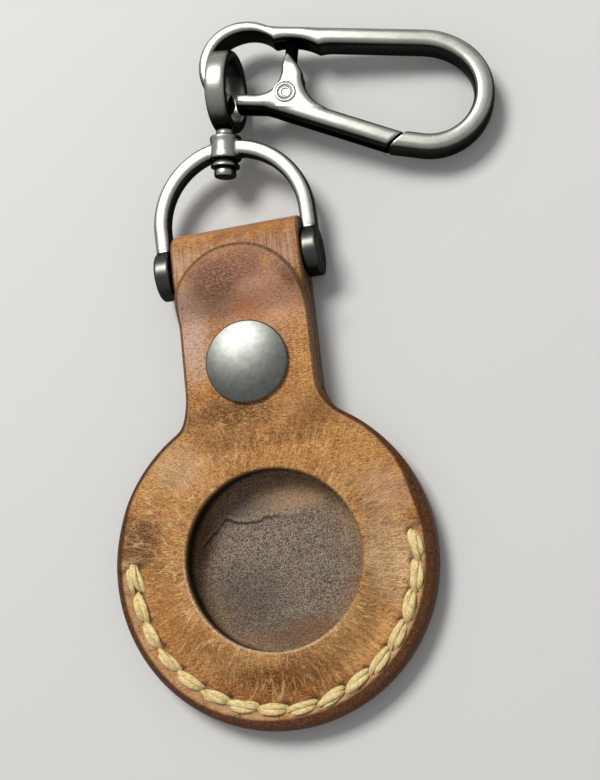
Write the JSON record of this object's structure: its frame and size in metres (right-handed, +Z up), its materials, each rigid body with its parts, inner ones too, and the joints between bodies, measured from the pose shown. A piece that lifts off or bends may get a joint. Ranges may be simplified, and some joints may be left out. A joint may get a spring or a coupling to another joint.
{
  "type": "tracker tag holder",
  "caption": "Leather pouch with a round window for a tracker tag, closed by a snap tab, with a hinged shackle, a swivel eye and a two-way carabiner.",
  "frame": {"origin": "centre of the pouch's disc, on its back face, which lies on the table", "axes": "+Y along the strap towards the shackle, +Z up out of the table towards the window"},
  "size_m": [0.0658, 0.1071, 0.0129],
  "materials": {
    "leather": "waxed pull-up cowhide, burnished edges",
    "thread": "waxed flat braid",
    "snap_metal": "antique nickel, worn bright at the top",
    "snap_inner": "plain pressed brass",
    "hardware_metal": "gunmetal satin over cast zinc",
    "pin_metal": "turned steel",
    "spring_metal": "spring wire"
  },
  "bodies": {
    "root": {"back_panel": "leather", "front_panel": "leather", "stitch_thread": "thread", "snap_stud": "snap_inner", "snap_post": "snap_metal"},
    "flap": {"front_flap": "leather", "snap_cap": "snap_metal", "snap_socket": "snap_inner"},
    "shackle": {"shackle_body": "hardware_metal", "shackle_pin": "pin_metal"},
    "swivel": {"swivel_eye": "hardware_metal", "swivel_collar": "hardware_metal"},
    "carabiner": {"carabiner_frame": "hardware_metal"},
    "gate": {"carabiner_gate": "hardware_metal", "gate_rivet": "pin_metal", "gate_spring": "spring_metal"}
  },
  "joints": [
    {"name": "flap_bend", "type": "hinge", "parent": "root", "child": "flap", "pos_m": [0, 0.003, 0.0071], "axis": [1, 0, 0], "range_deg": [0, 60]},
    {"name": "shackle_pivot", "type": "hinge", "parent": "root", "child": "shackle", "pos_m": [0, 0.0451, 0.00395], "axis": [1, 0, 0], "range_deg": [-110, 90]},
    {"name": "swivel_turn", "type": "hinge", "parent": "shackle", "child": "swivel", "pos_m": [-0.0002, 0.06322, 0.00562], "axis": [0.1392, 0.9861, 0.0908], "continuous": true},
    {"name": "carabiner_swing", "type": "hinge", "parent": "swivel", "child": "carabiner", "pos_m": [0.0044, 0.07585, 0.00574], "axis": [0.0834, -0.0173, 0.9964], "range_deg": [-5, 110]},
    {"name": "gate_hinge", "type": "hinge", "parent": "carabiner", "child": "gate", "pos_m": [0.0103, 0.06993, 0.00515], "axis": [0.0834, -0.0173, 0.9964], "range_deg": [0, 22], "stiffness_Nm_per_rad": 0.02, "springref_deg": -17.19, "deforming": ["gate_spring"]}
  ]
}
